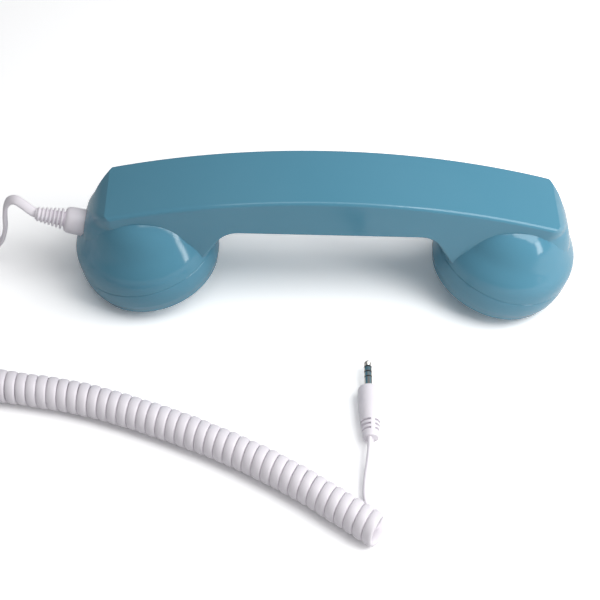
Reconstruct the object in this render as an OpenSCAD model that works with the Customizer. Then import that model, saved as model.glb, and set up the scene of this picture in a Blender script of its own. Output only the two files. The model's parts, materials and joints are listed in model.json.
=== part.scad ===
// Retro telephone handset with a curly cord and a four-pole audio plug.
// The handset lies on its two caps. X runs along the handle, with the cord at -X, Z is up.
// The origin is under the middle of the handle, on the surface that the handset lies on.

/* [Handle] */
// Width of the handle across its flat top
handle_w = 32; // [28:0.2:34]
// Height of the middle of the flat top
crown_z = 63.6; // [61:0.2:66]
// Radius of the top's long arc
crown_r = 345; // [300:5:400]
// Distance from the middle to each end of the flat top
end_x = 93.8; // [92:0.1:95]
// Height of the underside of the grip
grip_z = 44; // [43:0.5:46]
// Radius where the grip turns down into each cup
neck_r = 10; // [8:0.5:12]
// Distance from the middle to the centre of each neck radius
neck_x = 38; // [37:0.5:41]
// Wall thickness of the handle
handle_wall = 3; // [2.5:0.1:3.2]

/* [Cups] */
// Distance from the middle to the axis of each cup
cup_x = 78.3; // [78:0.1:80]
// Inward lean of each cap
cap_tilt = 14; // [12:0.5:15]
// Largest radius of a cup
cup_r = 30.7; // [29.5:0.1:31]
// Wall thickness of a cup
cup_wall = 2.8; // [2.4:0.1:3.2]

/* [Caps] */
// Depth of a cap below its seam
cap_h = 14.4; // [14:0.1:15]
// Radius of a cap at its seam
cap_r = 30.9; // [30:0.1:31.5]
// Radius of the ring-shaped face that a cap rests on
face_r = 28.8; // [28:0.1:29.5]
// Rounding of the cap's edge
edge_r = 2; // [1.5:0.1:2.5]
// Radius of the spigot that each cap screws on
spigot_r = 26.9; // [26.5:0.1:27]
// Radial running clearance of the caps
cap_play = 0.08; // [0.05:0.01:0.1]

/* [Answer button] */
// Middle of the button along the handle
button_x = 12; // [8:1:14]
// Length of the button
button_l = 14; // [12:0.5:15]
// Width of the button
button_w = 7; // [6:0.5:8]
// Travel of the button
button_travel = 0.8; // [0.5:0.1:1]

/* [Cord] */
// Outer radius of the curly coil
coil_r = 6.8; // [6.2:0.1:7.2]
// Half the width of the flat cord
lead_r = 2.1; // [1.8:0.1:2.4]
// Radius of the plug's pin
pin_r = 1.75; // [1.7:0.05:1.8]

/* [Hidden] */
blue = [0.31, 0.56, 0.68];
white = [0.88, 0.86, 0.89];
steel = [0.72, 0.73, 0.75];
// Height of the middle of each seam, where the edges of both caps touch the table
seam_z = (face_r - edge_r) * sin(cap_tilt) + edge_r + (cap_h - edge_r) * cos(cap_tilt);
// Outline of a cup above its seam: radius less the largest radius, and height
cup_top = 51.8;
cup_outline = [[0, 16], [-0.3, 21], [-1.5, 26], [-3.4, 31], [-5.8, 36.5], [-8.5, 42],
    [-11.4, 45.9], [-14.5, 48.4], [-18.9, 50.2], [-24.1, 51.4], [-30, cup_top]];
// Outline of the end of the handle, from the bottom up
end_outline = [[103, 12], [103, 26], [102.4, 32], [101.2, 38], [99.4, 42.8], [97, 47.2],
    [end_x, 50.8], [end_x, 70]];
// Wider than anything on the handset
wide = 70;
// Heights inside a cup, measured along the cap's axis from the seam
seat_s = 6;
spigot_s = -6;
cap_floor_s = -8.5;
capsule_r = 24.4;
capsule_back = 5.9;
capsule_front = -6.4;
well_r = 22.5;
case_wall = 1.5;
pole_r = 3.6;
gap_r = 5.2;
hole_r = 1.3;
microphone_r = 4.85;
microphone_seat_r = 7.5;
gasket_r = 23.5;
gasket_bore_r = 19;
screen_r = 16;
screen_t = 0.3;
wire_r = 0.8;
tail_r = 1.5;
// Levels of the answer button
plate_t = 1.5;
floor_z = grip_z + handle_wall;
plate_l = 50;
plate_w = 18;
hatch_l = 36;
hatch_w = 14;
plate_screw_x = 21;
board_z = floor_z + 6.9;
board_t = 1;
board_post_x = 13.5;
switch_z = floor_z + 3.4;
plunger_z = floor_z + 2.5;
plunger_l = 2.3;
plunger_r = 1.69;
slide_gap = 0.1;
// Strain relief: where its axis meets the cup, and its parts along that axis
boot_x = 105.4;
boot_z = 32;
boot_sink = 1.4;
boot_collar = 8;
boot_end = 20;
neck_end = -5;
flange_end = -6.3;
// Plug: front of its housing, height of its axis, and its lengths
plug_x = 17.5;
plug_y = -65.5;
plug_z = 4.7;
housing_l = 25;
coil_z = 6.9;
coil_route = [[18, -134, coil_z], [4, -124, coil_z], [-12, -113, coil_z], [-31, -102, coil_z],
    [-52, -92, coil_z], [-72, -84, coil_z], [-93, -77, coil_z], [-110, -73, coil_z],
    [-135, -69, coil_z], [-158, -64, coil_z], [-178, -54, coil_z], [-191, -37, coil_z],
    [-193, -16, coil_z], [-181, 0, coil_z], [-161, 6, coil_z]];
lead_route = [[-122, 0, 36], [-126, 0.5, 37.5], [-130, 2, 40], [-133.5, 3.5, 41.3],
    [-136.6, 4.3, 39.8], [-138.6, 4.5, 36], [-139.6, 4.5, 30], [-140.5, 4.5, 22],
    [-143, 4.5, 14.5], [-148, 5, 9], [-154, 5.5, 7.2], [-161, 6, 7]];
plug_route = [[17.5, -130, 2.4], [18, -126, 2.2], [16.4, -121.5, 2.2], [14.8, -117, 2.2],
    [15, -111, 2.5], [15.8, -104, 3.3], [16.8, -97, 4.4], [17.5, -90, plug_z]];
tail_route = [[-99.6, 0, 30.5], [-92, 0, 33], [-82, 0, 40], [-74, 2, 46], [-66, 4, 50],
    [-54, 4, 53], [-44, 4, 54.9], [-14, 4, 54.9], [-6, 3, 56.6], [-3, 3, 57]];
microphone_route = [[-80.3, -4, 27], [-79, -4, 36], [-73, -4, 45], [-66, -4, 49.6],
    [-54, -4, 52.4], [-44, -4, 54.1], [-14, -4, 54.1], [-6, -4, 55.8], [-3, -4, 56.3]];
receiver_route = [[26, -4, 56.3], [36, -4, 56], [48, -4, 54], [60, -4, 51.4], [68, -4, 48.6],
    [75, -4, 42], [79, -4, 34], [80.3, -4, 27]];

function unit(v) = v / norm(v);
function heading(p, i) = unit(p[min(i + 1, len(p) - 1)] - p[max(i - 1, 0)]);

// One closed tube through the points of a route; side is never along the route
module tube(route, r, sides, side) {
    last = len(route) - 1;
    rings = [for (i = [0:last]) let (u = unit(cross(side, heading(route, i))),
        v = cross(heading(route, i), u)) for (k = [0:sides - 1]) let (a = 360 * k / sides)
        route[i] + r * (cos(a) * u + sin(a) * v)];
    walls = [for (i = [0:last - 1]) for (k = [0:sides - 1]) let (j = (k + 1) % sides)
        [i * sides + j, i * sides + k, (i + 1) * sides + k, (i + 1) * sides + j]];
    polyhedron(rings, concat([[for (k = [0:sides - 1]) k]], walls,
        [[for (k = [0:sides - 1]) last * sides + sides - 1 - k]]));
}

// Places things on the cap's axis at the seam: 1 is the ear end, -1 the mouth end
module at_seam(end) translate([end * cup_x, 0, seam_z]) rotate([0, end * cap_tilt, 0]) children();

// Places things on the strain relief's axis, with +Z leaving the cup
module at_boot() translate([-boot_x, 0, boot_z]) rotate([0, cap_tilt - 90, 0]) children();

// Places things on the plug's axis, with +Z towards the tip
module at_plug() translate([plug_x, plug_y, plug_z]) rotate([-90, 0, 0]) children();

module ring(outer, inner, low, high) difference() {
    translate([0, 0, low]) cylinder(r = outer, h = high - low, $fn = 96);
    translate([0, 0, low - 1]) cylinder(r = inner, h = high - low + 2, $fn = 96);
}

module disc(r, low, high) translate([0, 0, low]) cylinder(r = r, h = high - low, $fn = 64);

// A bar with round ends along X
module oval(length, width, low, high) translate([0, 0, low]) {
    straight = length - width;
    translate([-straight / 2, -width / 2, 0]) cube([straight, width, high - low]);
    for (end = [-1, 1]) translate([end * straight / 2, 0, 0])
        cylinder(d = width, h = high - low, $fn = 64);
}

module prism(outline, width) rotate([90, 0, 0]) translate([0, 0, -width / 2])
    linear_extrude(width) polygon(outline);

module crown(width, inset) translate([0, width / 2, crown_z - crown_r]) rotate([90, 0, 0])
    cylinder(r = crown_r - inset, h = width, $fn = 720);

module finger_gap() {
    tangent_x = neck_x + neck_r * sin(60);
    tangent_z = grip_z - neck_r * cos(60);
    foot_x = tangent_x + (tangent_z - 5) / tan(60);
    for (end = [-1, 1]) translate([end * neck_x, wide / 2, grip_z - neck_r])
        rotate([90, 0, 0]) cylinder(r = neck_r, h = wide, $fn = 96);
    translate([-neck_x, -wide / 2, 0]) cube([2 * neck_x, wide, grip_z]);
    prism([[-foot_x, 5], [foot_x, 5], [tangent_x, tangent_z], [-tangent_x, tangent_z]], wide);
}

module handle_solid() difference() {
    intersection() {
        prism(concat([for (i = [0:len(end_outline) - 1]) end_outline[i]],
            [for (i = [len(end_outline) - 1:-1:0]) [-end_outline[i].x, end_outline[i].y]]),
            handle_w);
        crown(handle_w, 0);
    }
    finger_gap();
}

module cup_solid(end) translate([end * cup_x, 0, 0])
    rotate_extrude($fn = 96) polygon(concat([[0, cup_top], [0, 8], [cup_r, 8]],
        [for (p = cup_outline) [cup_r + p[0], p[1]]]));

module cup_hollow(end) {
    translate([end * cup_x, 0, 0]) rotate_extrude($fn = 96) polygon([[0, 20], [well_r, 20],
        [well_r, 36], [cup_r - 8.4 - cup_wall, 41], [cup_r - 14.2 - cup_wall, 47],
        [cup_r - 21 - cup_wall, 49.6], [0, 50.2]]);
}

module below_seam(end) at_seam(end) translate([-wide, -wide, -2 * wide])
    cube([2 * wide, 2 * wide, 2 * wide]);

// Handle, both cups and the two spigots, moulded in one piece
module handset_body() color(blue) difference() {
    union() {
        difference() {
            union() {
                handle_solid();
                for (end = [-1, 1]) cup_solid(end);
            }
            for (end = [-1, 1]) below_seam(end);
        }
        for (end = [-1, 1]) at_seam(end) disc(spigot_r, spigot_s, 1);
    }
    for (end = [-1, 1]) {
        at_seam(end) disc(capsule_r + 0.1, spigot_s - 1, seat_s);
        difference() {
            cup_hollow(end);
            at_seam(end) translate([-wide, -wide, -2 * wide + seat_s - 0.01])
                cube([2 * wide, 2 * wide, 2 * wide]);
        }
    }
    intersection() {
        translate([-72, 3 - handle_w / 2, floor_z]) cube([144, handle_w - 6, 20]);
        crown(wide, handle_wall);
    }
    translate([button_x, 0, 0]) {
        oval(plate_l + 0.2, plate_w + 0.2, grip_z - 1, grip_z + plate_t);
        oval(hatch_l + 0.2, hatch_w + 0.2, grip_z, floor_z + 1);
        for (end = [-1, 1]) translate([end * plate_screw_x, 0, 0])
            disc(0.8, grip_z, floor_z + 1);
    }
    at_boot() {
        disc(5.85, -boot_sink, 6);
        disc(3.6, flange_end, 1);
        disc(4.8, -12, neck_end);
    }
}

module receiver_case() color([0.12, 0.12, 0.13]) at_seam(1) difference() {
    disc(capsule_r, -5, capsule_back);
    disc(capsule_r - case_wall, -6, capsule_back - case_wall);
}

module receiver_magnet() color(steel) at_seam(1) difference() {
    disc(9, -1.2, capsule_back - case_wall);
    ring(gap_r, pole_r, -2, 2.6);
}

module receiver_voice_coil() color([0.72, 0.42, 0.2]) at_seam(1)
    ring(gap_r - 0.3, pole_r + 0.3, -2.44, 1.6);

module receiver_diaphragm() color([0.85, 0.83, 0.75]) at_seam(1) rotate_extrude($fn = 96)
    polygon([[0, -3.6], [5.5, -2.8], [8, -2.2], [14, -3.2], [19, -3.9], [22.88, -4], [22.88, -3.7],
        [19, -3.6], [14, -2.9], [8, -1.9], [5.2, -2.4], [0, -3.2]]);

module receiver_grid() color(steel) at_seam(1) difference() {
    disc(capsule_r, capsule_front, -5);
    disc(22.5, -5.6, -4);
    disc(hole_r, -7, -4);
    for (i = [0:7]) rotate(45 * i) translate([7, 0, 0]) disc(hole_r, -7, -4);
}

module receiver_wires() color([0.7, 0.15, 0.12]) tube(receiver_route, wire_r, 8, [0, 1, 0]);

module microphone_holder() color([0.14, 0.14, 0.15]) at_seam(-1) difference() {
    disc(capsule_r, capsule_front, capsule_back);
    disc(capsule_r - case_wall, -3.5, capsule_back - case_wall);
    disc(microphone_seat_r, -7, -3);
    translate([0, -4, 0]) disc(1.2, 3, 7);
}

module microphone_boot() color([0.1, 0.1, 0.1]) at_seam(-1)
    ring(microphone_seat_r, microphone_r, capsule_front, 0.5);

module microphone_capsule() color(steel) at_seam(-1)
    disc(microphone_r, capsule_front + 0.4, -0.6);

module microphone_wires() color([0.15, 0.45, 0.2]) tube(microphone_route, wire_r, 8, [0, 1, 0]);

// Steel bar glued to the floor of the handle
module balance_weight() color(steel) translate([-44, -11, floor_z]) cube([30, 22, 5.4]);

module button_plate() color(blue) translate([button_x, 0, 0]) difference() {
    union() {
        oval(plate_l, plate_w, grip_z, grip_z + plate_t);
        oval(hatch_l, hatch_w, grip_z + plate_t, floor_z);
        for (end = [-1, 1]) translate([end * board_post_x, 0, 0]) disc(2.2, floor_z, board_z);
    }
    oval(button_l + 2 * slide_gap, button_w + 2 * slide_gap, grip_z - 1, floor_z + 1);
    for (end = [-1, 1]) {
        translate([end * plate_screw_x, 0, 0]) {
            disc(2, grip_z - 1, grip_z + 0.9);
            disc(1.1, grip_z - 1, floor_z);
        }
        translate([end * board_post_x, 0, 0]) disc(0.8, floor_z + 2, board_z + 1);
    }
}

// Two small screws, their heads just below the underside of the plate
module plate_screws() color(steel) for (end = [-1, 1])
    translate([button_x + end * plate_screw_x, 0, 0]) difference() {
        union() {
            disc(1.9, grip_z + 0.1, grip_z + 0.9);
            disc(0.85, grip_z + 0.9, floor_z - 0.1);
        }
        translate([-1.4, -0.25, grip_z]) cube([2.8, 0.5, 0.5]);
        translate([-0.25, -1.4, grip_z]) cube([0.5, 2.8, 0.5]);
    }

module switch_board() color([0.1, 0.35, 0.2]) translate([button_x, 0, 0]) difference() {
    translate([-16.5, -6.5, board_z]) cube([33, 13, board_t]);
    for (end = [-1, 1]) translate([end * board_post_x, 0, 0]) disc(1.1, board_z - 1, board_z + 2);
}

module board_screws() color(steel) for (end = [-1, 1])
    translate([button_x + end * board_post_x, 0, 0]) {
        disc(1.8, board_z + board_t, board_z + board_t + 1.1);
        disc(0.85, board_z - 4, board_z + board_t);
    }

module switch_body() color([0.2, 0.2, 0.21]) translate([button_x, 0, 0]) difference() {
    translate([-3, -3, switch_z]) cube([6, 6, board_z - switch_z]);
    disc(plunger_r + 0.06, switch_z - 1, plunger_z + plunger_l + button_travel + 0.2);
}

module switch_plunger() color([0.85, 0.85, 0.8]) translate([button_x, 0, 0])
    disc(plunger_r, plunger_z, plunger_z + plunger_l);

module answer_button() color(white) translate([button_x, 0, 0]) {
    oval(button_l, button_w, grip_z - 1.2, floor_z + 0.02);
    oval(button_l + 2.4, button_w + 2.4, floor_z + 0.02, floor_z + 1.2);
    disc(2.4, floor_z + 1.2, plunger_z);
}

module cord_tail() color(white) tube(tail_route, tail_r, 8, [0, 1, 0]);

module gasket(end) color([0.16, 0.16, 0.17]) at_seam(end)
    ring(gasket_r, gasket_bore_r, cap_floor_s, capsule_front - 0.05);

// Cap without its sound holes: skirt, ring-shaped face and shallow dish
module cap_solid() difference() {
    rotate_extrude($fn = 96) polygon(concat([[0, -1], [0, -cap_h + 3.4], [6, -cap_h + 3.3],
        [13, -cap_h + 2.2], [20, -cap_h]],
        [for (a = [0:15:75]) [face_r - edge_r + edge_r * sin(a), edge_r - cap_h - edge_r * cos(a)]],
        [[face_r + 0.3, 3 - cap_h], [cap_r - 0.3, -8.5], [cap_r + 0.4, -4], [cap_r, 0], [0, 0]]));
    disc(spigot_r + cap_play, spigot_s - 0.1, 1);
    disc(capsule_r + 0.4, cap_floor_s, 1);
    ring(24, 21, 3 - cap_h, cap_floor_s + 1);
}

module ear_cap() color(blue) at_seam(1) difference() {
    cap_solid();
    disc(1.7, -wide, 0);
    for (i = [0:5]) rotate(60 * i) translate([7.5, 0, 0]) disc(1.7, -wide, 0);
}

module mouth_cap() color(blue) at_seam(-1) difference() {
    cap_solid();
    disc(1.2, -wide, 0);
    for (i = [0:5]) rotate(60 * i) translate([5, 0, 0]) disc(1.2, -wide, 0);
    for (i = [0:11]) rotate(30 * i) translate([10, 0, 0]) disc(1.2, -wide, 0);
}

module screen(end) color([0.08, 0.08, 0.08]) at_seam(end)
    disc(screen_r, cap_floor_s, cap_floor_s + screen_t);

// Rubber boot: collar sunk into the cup, ribs that taper to the cord, neck and inner flange
module strain_relief() color(white) at_boot() {
    rotate_extrude($fn = 64) polygon([[0, -boot_sink], [5.75, -boot_sink], [5.75, 6.2], [5, 7.6],
        [3.6, boot_collar], [0, boot_collar]]);
    for (i = [0:6]) disc(4.4 - 0.22 * i, boot_collar + 0.7 + 1.65 * i, boot_collar + 1.7 + 1.65 * i);
    translate([0, 0, boot_collar]) cylinder(r1 = 3.4, r2 = 2.3, h = boot_end - boot_collar, $fn = 64);
    disc(3.5, neck_end, -boot_sink);
    disc(4.6, flange_end, neck_end);
}

module handset_lead() color(white) tube(lead_route, lead_r, 8, [0, 1, 0]);

module curly_coil() color(white) tube(coil_route, coil_r, 12, [0, 0, 1]);

module plug_lead() color(white) tube(plug_route, lead_r, 8, [0, 0, 1]);

module plug_housing() color(white) at_plug() rotate_extrude($fn = 64)
    polygon([[0, 0], [4.2, 0], [4.65, 0.6], [4.6, -8], [4.1, -16], [3.5, -22], [3.2, -housing_l],
        [0, -housing_l]]);

module plug_sleeve() color(steel) at_plug() {
    disc(2.6, 0, 0.8);
    disc(pin_r, 0.8, 5.4);
}

module plug_rings() color(steel) at_plug() {
    disc(pin_r, 6, 8);
    disc(pin_r, 8.6, 10.6);
}

module plug_insulators() color([0.1, 0.1, 0.1]) at_plug() {
    disc(pin_r, 5.4, 6);
    disc(pin_r, 8, 8.6);
    disc(pin_r, 10.6, 11.2);
}

module plug_tip() color(steel) at_plug() rotate_extrude($fn = 64)
    polygon([[0, 11.2], [1.4, 11.2], [1.15, 11.9], [1.7, 12.7], [1.6, 13.3], [0.6, 14.6], [0, 14.8]]);

handset_body();
receiver_case();
receiver_magnet();
receiver_voice_coil();
receiver_diaphragm();
receiver_grid();
receiver_wires();
microphone_holder();
microphone_boot();
microphone_capsule();
microphone_wires();
balance_weight();
button_plate();
plate_screws();
switch_board();
board_screws();
switch_body();
switch_plunger();
answer_button();
cord_tail();
gasket(1);  // ear_gasket
ear_cap();
screen(1);  // ear_screen
gasket(-1);  // mouth_gasket
mouth_cap();
screen(-1);  // mouth_screen
strain_relief();
handset_lead();
curly_coil();
plug_lead();
plug_housing();
plug_sleeve();
plug_rings();
plug_insulators();
plug_tip();
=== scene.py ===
import json
from math import ceil, copysign, cos, pi, radians, sin

import bmesh
import bpy
from mathutils import Matrix, Vector


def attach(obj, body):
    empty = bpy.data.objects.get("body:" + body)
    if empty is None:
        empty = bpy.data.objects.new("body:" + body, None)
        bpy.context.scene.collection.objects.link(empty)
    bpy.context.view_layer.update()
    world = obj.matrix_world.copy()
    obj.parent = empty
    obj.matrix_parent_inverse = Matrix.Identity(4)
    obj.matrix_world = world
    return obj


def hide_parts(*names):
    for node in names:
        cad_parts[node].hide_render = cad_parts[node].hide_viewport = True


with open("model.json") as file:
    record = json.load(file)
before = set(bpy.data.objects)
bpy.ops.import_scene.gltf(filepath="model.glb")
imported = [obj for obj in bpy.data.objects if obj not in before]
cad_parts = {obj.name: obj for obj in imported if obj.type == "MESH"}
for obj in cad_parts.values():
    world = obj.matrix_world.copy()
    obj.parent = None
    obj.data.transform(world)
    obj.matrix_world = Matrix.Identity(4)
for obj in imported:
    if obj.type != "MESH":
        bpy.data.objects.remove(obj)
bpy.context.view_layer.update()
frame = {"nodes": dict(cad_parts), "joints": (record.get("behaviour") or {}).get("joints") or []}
mm = 0.001
scene = bpy.context.scene
print("frame loaded")


# camera, floor and light

camera = {
    "place": Vector((-0.0302, -0.3937, 0.4573)),
    "target": Vector((-0.0108, -0.0142, 0.0)),
    "roll": radians(3.47),
    "lens": 80.34,
}


def addCamera():
    bpy.ops.object.camera_add(location=camera["place"])
    made = bpy.context.object
    made.data.lens = camera["lens"]
    made.data.sensor_width = 36
    made.data.clip_start = 0.01
    look = (camera["target"] - camera["place"]).to_track_quat("-Z", "Y")
    made.rotation_euler = (look.to_matrix() @ Matrix.Rotation(camera["roll"], 3, "Z")).to_euler()
    scene.camera = made


softboxes = {
    "keyRight": {"place": (0.32, -0.1, 0.42), "aim": (0.02, -0.02, 0.02), "size": (0.42, 0.42), "watts": 2.3},
    "overhead": {"place": (0.02, -0.12, 0.75), "aim": (0, 0, 0.02), "size": (0.5, 0.4), "watts": 1.2},
    "windowRight": {"place": (0.5, -0.3, 0.17), "aim": (0, 0, 0.04), "size": (0.09, 0.25), "watts": 0.5},
}


def addSoftbox(name, look):
    bpy.ops.object.light_add(type="AREA", location=look["place"])
    made = bpy.context.object
    made.name = name
    made.data.shape = "RECTANGLE"
    made.data.size, made.data.size_y = look["size"]
    made.data.energy = look["watts"]
    away = Vector(look["aim"]) - Vector(look["place"])
    made.rotation_euler = away.to_track_quat("-Z", "Y").to_euler()


studio = {
    "floorSize": 6.0,
    "floorTone": 0.8,
    "floorSeen": 1.42,
    "skyColour": (0.97, 0.98, 1.0, 1),
    "skyStrength": 0.27,
}


def addStudio():
    bpy.ops.mesh.primitive_plane_add(size=studio["floorSize"], location=(0, 0, 0))
    floor = bpy.context.object
    floor.name = "floor"
    paper = bpy.data.materials.new("palePaper")
    paper.use_nodes = True
    tree = paper.node_tree
    tree.nodes.remove(tree.nodes["Principled BSDF"])
    shader = tree.nodes.new("ShaderNodeBsdfDiffuse")
    tree.links.new(shader.outputs["BSDF"], tree.nodes["Material Output"].inputs["Surface"])
    # the paper looks over-exposed, but lights the object as plain pale paper does
    seen = tree.nodes.new("ShaderNodeLightPath")
    tone = tree.nodes.new("ShaderNodeMath")
    tone.operation = "MULTIPLY_ADD"
    tone.inputs[1].default_value = studio["floorSeen"] - studio["floorTone"]
    tone.inputs[2].default_value = studio["floorTone"]
    tree.links.new(seen.outputs["Is Camera Ray"], tone.inputs[0])
    tree.links.new(tone.outputs["Value"], shader.inputs["Color"])
    floor.data.materials.append(paper)
    sky = bpy.data.worlds.new("paleSky")
    sky.use_nodes = True
    sky.node_tree.nodes["Background"].inputs["Color"].default_value = studio["skyColour"]
    sky.node_tree.nodes["Background"].inputs["Strength"].default_value = studio["skyStrength"]
    scene.world = sky
    scene.view_settings.view_transform = "Standard"


addCamera()
for boxName, boxLook in softboxes.items():
    addSoftbox(boxName, boxLook)
addStudio()
print("studio ready")


# shader groups that several materials use

def newGroup(name, inputs, output):
    group = bpy.data.node_groups.new(name, "ShaderNodeTree")
    for label, kind in inputs:
        group.interface.new_socket(name=label, in_out="INPUT", socket_type="NodeSocket" + kind)
    group.interface.new_socket(name=output[0], in_out="OUTPUT", socket_type="NodeSocket" + output[1])
    return group, group.nodes.new("NodeGroupInput"), group.nodes.new("NodeGroupOutput")


def mathNode(group, operation, first, second):
    node = group.nodes.new("ShaderNodeMath")
    node.operation = operation
    for socket, value in zip(node.inputs, (first, second)):
        if isinstance(value, (int, float)):
            socket.default_value = value
        else:
            group.links.new(value, socket)
    return node.outputs[0]


def noiseNode(group, vector, scale, detail):
    node = group.nodes.new("ShaderNodeTexNoise")
    node.inputs["Detail"].default_value = detail
    group.links.new(vector, node.inputs["Vector"])
    group.links.new(scale, node.inputs["Scale"])
    return node.outputs["Fac"]


def castToneGroup():
    group, entry, leave = newGroup(
        "castTone",
        [("Vector", "Vector"), ("Colour", "Color"), ("Variation", "Float"), ("Scale", "Float")],
        ("Colour", "Color"),
    )
    cloud = noiseNode(group, entry.outputs["Vector"], entry.outputs["Scale"], 3)
    swing = mathNode(group, "MULTIPLY", mathNode(group, "SUBTRACT", cloud, 0.5), entry.outputs["Variation"])
    value = group.nodes.new("ShaderNodeHueSaturation")
    group.links.new(mathNode(group, "ADD", swing, 1.0), value.inputs["Value"])
    group.links.new(mathNode(group, "SUBTRACT", 1.0, swing), value.inputs["Saturation"])
    group.links.new(entry.outputs["Colour"], value.inputs["Color"])
    group.links.new(value.outputs["Color"], leave.inputs["Colour"])
    return group


def handledGlossGroup():
    group, entry, leave = newGroup(
        "handledGloss",
        [("Vector", "Vector"), ("Roughness", "Float"), ("Spread", "Float"), ("Scale", "Float")],
        ("Roughness", "Float"),
    )
    smear = noiseNode(group, entry.outputs["Vector"], entry.outputs["Scale"], 5)
    fine = noiseNode(
        group, entry.outputs["Vector"], mathNode(group, "MULTIPLY", entry.outputs["Scale"], 7.0), 2
    )
    layers = mathNode(group, "ADD", smear, mathNode(group, "MULTIPLY", fine, 0.4))
    both = mathNode(group, "SUBTRACT", layers, 0.7)  # centred on zero
    swing = mathNode(group, "MULTIPLY", both, entry.outputs["Spread"])
    group.links.new(mathNode(group, "ADD", entry.outputs["Roughness"], swing), leave.inputs["Roughness"])
    return group


def mouldSkinGroup():
    group, entry, leave = newGroup(
        "mouldSkin",
        [("Vector", "Vector"), ("Waves", "Float"), ("Grain", "Float"), ("Grain Share", "Float")],
        ("Height", "Float"),
    )
    waves = noiseNode(group, entry.outputs["Vector"], entry.outputs["Waves"], 1)
    grain = noiseNode(group, entry.outputs["Vector"], entry.outputs["Grain"], 4)
    part = mathNode(group, "MULTIPLY", grain, entry.outputs["Grain Share"])
    group.links.new(mathNode(group, "ADD", waves, part), leave.inputs["Height"])
    return group


def rubbedEdgeGroup():
    group, entry, leave = newGroup(
        "rubbedEdge",
        [("Vector", "Vector"), ("Amount", "Float"), ("Scale", "Float")],
        ("Mask", "Float"),
    )
    shape = group.nodes.new("ShaderNodeNewGeometry")
    ridge = group.nodes.new("ShaderNodeMapRange")
    ridge.inputs["From Min"].default_value = 0.52
    ridge.inputs["From Max"].default_value = 0.62
    group.links.new(shape.outputs["Pointiness"], ridge.inputs["Value"])
    broken = noiseNode(group, entry.outputs["Vector"], entry.outputs["Scale"], 4)
    worn = mathNode(group, "MULTIPLY", ridge.outputs["Result"], broken)
    group.links.new(mathNode(group, "MULTIPLY", worn, entry.outputs["Amount"]), leave.inputs["Mask"])
    return group


effects = {
    "castTone": castToneGroup(),
    "handledGloss": handledGlossGroup(),
    "mouldSkin": mouldSkinGroup(),
    "rubbedEdge": rubbedEdgeGroup(),
}

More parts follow.
